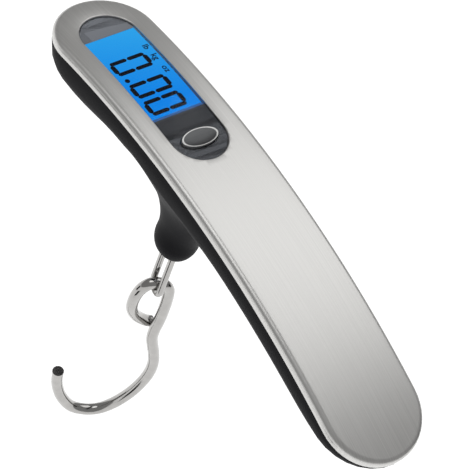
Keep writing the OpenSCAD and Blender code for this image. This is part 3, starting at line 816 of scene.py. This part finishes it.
class SCALE_OT_digits(PieceOperator, Operator):
    """Make the dark segments of the reading and its small unit marks"""

    bl_idname = "luggage_scale.digits"
    bl_label = "Reading and units"

    relief: length_setting("Relief", "Thickness of the segments", 0.03)
    base_line: length_setting("Base line", "Across the display to the foot of the digits", -6.95)
    digit_places: FloatVectorProperty(
        name="Digit places", description="Middle of each digit along the arch",
        size=3, default=(-50.65 * MM, -41.55 * MM, -34.95 * MM), unit="LENGTH")
    point_place: length_setting("Point place", "Place of the decimal point along the arch", -45.8)
    point_radius: length_setting("Point radius", "Radius of the decimal point", 0.72)
    unit_places: FloatVectorProperty(
        name="Unit places", description="Middle of each unit mark along the arch",
        size=3, default=(-54.6 * MM, -50.4 * MM, -45.35 * MM), unit="LENGTH")
    unit_line: length_setting("Unit line", "Across the display to the foot of the unit marks", 5.7)
    unit_size: length_setting("Unit size", "Height of the unit marks' type", 2.6)

    def build(self, scene):
        display = scene.scale_display
        ink = scene.scale_finish.digits
        made = material("digit_ink", ink, roughness=0.5, Specular_IOR_Level=0.05)
        edge = noise(made, 2500.0, detail=1.0)
        feed(made, "Roughness", spread(made, edge, 0.42, 0.58))
        bm = bmesh.new()
        for centre in self.digit_places:
            self.zero(bm, centre, self.base_line, display)
        self.dot(bm, self.point_place, self.base_line + display.stroke, self.point_radius)
        self.seat(bm, scene)
        piece(bm, "display_digits", made, "handle")
        self.units(scene, made)

    def zero(self, bm, centre, base, display):
        """A seven-segment 0: six bars with small gaps between them."""
        half = display.stroke / 2
        gap = 0.12 * MM
        left = centre - display.digit_width / 2 + half
        right = centre + display.digit_width / 2 - half
        bottom = base + half
        top = base + display.digit_height - half
        middle = (bottom + top) / 2
        for level in (bottom, top):
            self.bar(bm, (left + gap + half, level), (right - gap - half, level), 1.1 * half)
        for side in (left, right):
            self.bar(bm, (side, bottom + gap), (side, middle - gap - half / 2), half)
            self.bar(bm, (side, middle + gap + half / 2), (side, top - gap), half)

    def bar(self, bm, start, end, half):
        """One segment: a flat bar with pointed, slightly rounded ends."""
        along = (Vector(end) - Vector(start)).normalized()
        across = Vector((-along.y, along.x))
        taper = ((-0.5, 0.12), (-0.35, 0.4), (0.15, 0.9), (0.35, 1.0))
        quarter = [(along * half * run, across * half * width) for run, width in taper]
        start_side = [Vector(start) + run + width for run, width in quarter]
        end_side = [Vector(end) - run + width for run, width in reversed(quarter)]
        end_back = [Vector(end) - run - width for run, width in quarter]
        start_back = [Vector(start) + run - width for run, width in reversed(quarter)]
        corners = start_side + end_side + end_back + start_back
        bm.faces.new([bm.verts.new((*co, 0)) for co in corners])

    def dot(self, bm, run, across, radius):
        made = bmesh.ops.create_circle(bm, cap_ends=True, segments=20, radius=radius)["verts"]
        bmesh.ops.translate(bm, vec=(run, across, 0), verts=made)

    def seat(self, bm, scene):
        """Gives the flat marks a little thickness and lays them on the display."""
        display = scene.scale_display
        out = bmesh.ops.extrude_face_region(bm, geom=bm.faces[:])["geom"]
        top = [v for v in out if isinstance(v, bmesh.types.BMVert)]
        bmesh.ops.translate(bm, vec=(0, 0, self.relief), verts=top)
        level = display.lens_top + display.lens_thickness + display.film_thickness + self.relief / 3
        bmesh.ops.translate(bm, vec=(0, 0, -level), verts=bm.verts[:])
        bmesh.ops.recalc_face_normals(bm, faces=bm.faces[:])
        bend(bm, scene.scale_handle)

    def units(self, scene, made):
        """Three small unit marks beside the reading."""
        bm = bmesh.new()
        for word, run in zip(("lb", "kg", "oz"), self.unit_places):
            curve = bpy.data.curves.new(word, "FONT")
            curve.body = word
            curve.size = self.unit_size
            curve.offset = 0.04 * MM
            curve.align_x = "CENTER"
            curve.resolution_u = 3
            mesh = settle(add_object(word, curve), word)
            first = len(bm.verts)
            bm.from_mesh(mesh)
            bm.verts.ensure_lookup_table()
            bmesh.ops.translate(bm, vec=(run, self.unit_line, 0), verts=bm.verts[first:])
            bpy.data.meshes.remove(mesh)
        bmesh.ops.remove_doubles(bm, verts=bm.verts[:], dist=1e-6)
        self.seat(bm, scene)
        piece(bm, "display_units", made, "handle")


class SCALE_OT_button(PieceOperator, Operator):
    """Make the oval metal button with its dished top"""

    bl_idname = "luggage_scale.button"
    bl_label = "Button"

    rise: length_setting("Rise", "How far the button stands out of the face", 0.35)
    height: length_setting("Height", "Height of the button", 2)

    def build(self, scene):
        display = scene.scale_display
        handle = scene.scale_handle
        bm = bmesh.new()
        bmesh.ops.create_cone(
            bm, cap_ends=True, segments=96, radius1=1, radius2=1, depth=self.height)
        bmesh.ops.translate(bm, vec=(0, 0, self.rise - self.height / 2), verts=bm.verts[:])
        self.dish(bm)
        oval = (display.button_half_width, display.button_half_length, 1)
        bmesh.ops.scale(bm, vec=oval, verts=bm.verts[:])
        ease(bm, edges_at(bm, self.rise), 0.2 * MM, 4)
        outward(bm)
        turn = Matrix.Rotation(display.button_place / handle.arch_radius, 4, "Y")
        seat = bend_point(display.button_place, 0, 0, handle.arch_radius, straight_half(handle))
        bm.transform(Matrix.Translation(seat) @ turn)
        # The button's rim carries a painted highlight.
        made = rimmed_button(display, handle)
        cap = piece(bm, "button_cap", made, "button", angle=50)
        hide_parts("power_button")

    def dish(self, bm):
        """Sinks the top of a button of radius 1 in rings of a given width and depth in mm."""
        cap = max(bm.faces, key=lambda face: face.calc_center_median().z)
        for width, sink in ((0.16, 0.12), (0.22, 0.1), (0.22, 0.05), (0.2, 0.02)):
            bmesh.ops.inset_region(bm, faces=[cap], thickness=width, depth=0)
            bmesh.ops.translate(bm, vec=(0, 0, -sink * MM), verts=cap.verts[:])


class SCALE_OT_shell(PieceOperator, Operator):
    """Make the smooth black underside and its battery door"""

    bl_idname = "luggage_scale.shell"
    bl_label = "Lower shell"

    reach: length_setting("Reach", "How far from the neck the underside is softened", 22)
    low: length_setting("Low", "Height from which the neck is softened", -35)
    top: length_setting("Top", "Height up to which the underside is softened", -12)
    mesh_size: length_setting("Mesh size", "Longest edge kept in the softened part", 1.4)

    def build(self, scene):
        made = moulded("shell_plastic", scene.scale_finish.shell, gloss=0.03)
        shell = welded_copy("lower_shell")
        self.soften_neck(shell, scene.scale_handle.neck_smoothing)
        skin = piece(shell, "shell_skin", made, "handle", angle=24)
        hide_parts("lower_shell")
        cover = welded_copy("battery_door")
        door = piece(cover, "door_skin", made, "battery_door", angle=24)
        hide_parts("battery_door")

    def soften_neck(self, bm, passes):
        """Blends the neck's flare into the underside, where the two meet in a crease."""
        centre = middle_of("clevis_pin")

        def near(vert):
            return (vert.co - centre).xy.length < self.reach and self.low < vert.co.z < self.top

        def long(edge):
            return edge.calc_length() > self.mesh_size and all(map(near, edge.verts))

        for _ in range(3):
            bmesh.ops.subdivide_edges(bm, edges=[e for e in bm.edges if long(e)], cuts=1)
            bmesh.ops.triangulate(bm, faces=[face for face in bm.faces if len(face.verts) > 3])
        tree = BVHTree.FromBMesh(bm)
        down = Vector((0, 0, -1))
        clear = down * 0.05 * MM
        outside = [v for v in bm.verts if near(v) and not tree.ray_cast(v.co + clear, down)[0]]
        for _ in range(passes):
            bmesh.ops.smooth_vert(
                bm, verts=outside, factor=0.5, use_axis_x=True, use_axis_y=True, use_axis_z=True)


class SCALE_OT_hook(PieceOperator, Operator):
    """Make the bent wire hook and the closed link it hangs on"""

    bl_idname = "luggage_scale.hook"
    bl_label = "Hook and link"

    def build(self, scene):
        sizes = scene.scale_hook
        made = polished("hook_chrome", scene.scale_finish.chrome)
        bm = wire_mesh(self.hook_path(sizes), sizes.hook_wire / 2, sizes.sides, False, "hook_wire")
        ease_wire_ends(bm, 0.3 * MM)
        hook = piece(bm, "hook_wire", made, "hook", angle=60)
        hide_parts("hook")
        bm = wire_mesh(self.link_path(sizes), sizes.link_wire / 2, sizes.sides, True, "link_wire")
        link = piece(bm, "link_wire", made, "link", angle=60)
        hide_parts("pull_link")

    def link_frame(self, sizes):
        """The link's hanging frame: its pin, and the turn and tilt of its length."""
        turn = Matrix.Rotation(sizes.link_turn, 4, "Z")
        tilt = Matrix.Rotation(-sizes.link_tilt, 4, "Y")
        return Matrix.Translation(middle_of("clevis_pin")) @ turn @ tilt

    def hook_path(self, sizes):
        """From the curled end, round the eye and down to the tip."""
        points = (
            (5.2, 3.6, -24.8), (3, 3.3, -23.9), (-0.6, 2.3, -20.1), (-3.2, 1, -14.6),
            (-4.1, 0.3, -8.6), (-3.7, 0, -3.7), (-2.1, 0, -0.8), (0, 0, 0), (2.3, 0, -0.7),
            (4.1, 0, -3.3), (4.9, 0, -7.8), (5.4, 0, -13), (5.7, 0, -18.5), (5.7, 0, -23),
            (6.1, 0, -27.4), (7.2, 0, -31.2), (8.8, 0, -35.8), (10.1, 0, -40.8), (10.5, 0, -46.4),
            (9.7, 0, -52.4), (7.8, 0, -58.7), (4.8, 0, -64.4), (1.2, 0, -68.1), (-3, 0, -69.1),
            (-7.7, 0, -67.4), (-11.8, 0, -62), (-14.5, 0, -55.4), (-15.8, 0, -48.8),
        )
        hang = sizes.link_drop - sizes.link_wire / 2 - sizes.hook_wire / 2 - sizes.play
        top = self.link_frame(sizes) @ Vector((0, 0, -hang))
        turn = Matrix.Rotation(sizes.hook_turn, 3, "Z")
        placed = [top + turn @ (Vector(point) * MM) for point in points]
        return smooth_path(placed, sizes.steps)

    def link_path(self, sizes):
        """A long closed loop, hanging from the pin."""
        bend_radius = sizes.link_pitch / 2
        top = sizes.pin_rise - bend_radius
        low = bend_radius - sizes.link_drop
        steps = 16
        loop = []
        for centre, first in ((top, 0), (low, 180)):
            for index in range(steps + 1):
                angle = math.radians(first + 180 * index / steps)
                across = bend_radius * math.cos(angle)
                up = bend_radius * math.sin(angle)
                loop.append(Vector((across, 0, centre + up)))
        hang = self.link_frame(sizes)
        return [hang @ point for point in loop]


class SCALE_OT_finishes(PieceOperator, Operator):
    """Give every CAD node that stays visible its finish"""

    bl_idname = "luggage_scale.finishes"
    bl_label = "Inner finishes"

    def build(self, scene):
        for name, made in node_finishes().items():
            slots = nodes[name].material_slots
            if not slots:
                nodes[name].data.materials.append(made)
            for slot in slots:
                slot.material = made


class SCALE_OT_studio(PieceOperator, Operator):
    """Make the floor, the lights and the camera"""

    bl_idname = "luggage_scale.studio"
    bl_label = "Studio"

    def build(self, scene):
        studio = scene.scale_studio
        self.floor(studio)
        self.lights(scene, studio)
        self.camera(scene, studio)

    def floor(self, studio):
        bm = bmesh.new()
        bmesh.ops.create_grid(bm, x_segments=8, y_segments=8, size=4)
        bmesh.ops.translate(bm, vec=(0, 0, cad_low.z - studio.floor_drop), verts=bm.verts[:])
        floor = add_mesh("floor", bm)
        paper = material("floor_paper", (0.93, 0.93, 0.93), roughness=0.9)
        shader_of(paper).inputs["Emission Color"].default_value = (1, 1, 1, 1)
        shader_of(paper).inputs["Emission Strength"].default_value = studio.floor_glow
        floor.data.materials.append(paper)

    def lights(self, scene, studio):
        world = bpy.data.worlds.new("studio")
        world.use_nodes = True
        background = world.node_tree.nodes["Background"]
        background.inputs["Color"].default_value = (1, 1, 1, 1)
        background.inputs["Strength"].default_value = studio.surroundings
        scene.world = world
        for name, place, size, share in SOFTBOXES:
            self.softbox(name, place, size, share * studio.key_glow)
        for name, place, size in CARDS:
            self.card(name, place, size)

    def softbox(self, name, place, size, glow):
        """A square lamp of the given radiance that faces the object."""
        light = bpy.data.lights.new(name, "AREA")
        light.shape = "SQUARE"
        light.size = size
        light.energy = math.pi * size * size * glow
        lamp = add_object(name, light)
        lamp.location = place
        lamp.rotation_euler = (-Vector(place)).to_track_quat("-Z", "Y").to_euler()

    def card(self, name, place, size):
        """A dark card that only mirrors see."""
        bm = bmesh.new()
        bmesh.ops.create_grid(bm, x_segments=2, y_segments=2, size=size / 2)
        facing = Vector(place).to_track_quat("Z", "Y").to_matrix().to_4x4()
        bm.transform(Matrix.Translation(place) @ facing)
        card = add_mesh(name, bm)
        card.data.materials.append(material("flag_cloth", (0.02, 0.02, 0.02), roughness=1.0))
        card.visible_camera = False
        card.visible_diffuse = False
        card.visible_shadow = False

    def camera(self, scene, studio):
        place = Vector(studio.camera_place)
        back = (place - Vector(studio.camera_aim)).normalized()
        right = Vector(studio.camera_up).cross(back).normalized()
        up = back.cross(right)
        data = bpy.data.cameras.new("camera")
        data.sensor_width = 36
        data.lens = studio.camera_lens
        data.clip_start = 0.01
        data.clip_end = 30
        camera = add_object("camera", data)
        turn = Matrix((right, up, back)).transposed().to_4x4()
        camera.matrix_world = Matrix.Translation(place) @ turn
        scene.camera = camera
        scene.view_settings.view_transform = "Standard"


PIECES = (
    SCALE_OT_face, SCALE_OT_panel, SCALE_OT_digits, SCALE_OT_button, SCALE_OT_shell,
    SCALE_OT_hook, SCALE_OT_finishes, SCALE_OT_studio,
)

SETTINGS = {
    "scale_handle": HandleSettings,
    "scale_display": DisplaySettings,
    "scale_hook": HookSettings,
    "scale_finish": FinishSettings,
    "scale_studio": StudioSettings,
}


class SCALE_PT_sidebar(Panel):
    """Lists the settings and the operators"""

    bl_idname = "SCALE_PT_sidebar"
    bl_label = "Luggage Scale"
    bl_space_type = "VIEW_3D"
    bl_region_type = "UI"
    bl_category = "Luggage Scale"

    def draw(self, context):
        for name, group in SETTINGS.items():
            box = self.layout.box()
            box.label(text=group.__doc__)
            for prop in group.__annotations__:
                box.prop(getattr(context.scene, name), prop)
        for operator in PIECES:
            self.layout.operator(operator.bl_idname)


def register():
    for group in SETTINGS.values():
        bpy.utils.register_class(group)
    for name, group in SETTINGS.items():
        setattr(bpy.types.Scene, name, PointerProperty(type=group))
    for operator in PIECES:
        bpy.utils.register_class(operator)
    bpy.utils.register_class(SCALE_PT_sidebar)


def unregister():
    bpy.utils.unregister_class(SCALE_PT_sidebar)
    for operator in reversed(PIECES):
        bpy.utils.unregister_class(operator)
    for name in SETTINGS:
        delattr(bpy.types.Scene, name)
    for group in SETTINGS.values():
        bpy.utils.unregister_class(group)


def main():
    register()
    for operator in PIECES:
        getattr(bpy.ops.luggage_scale, operator.bl_idname.split(".")[1])()


if __name__ == "__main__":
    main()
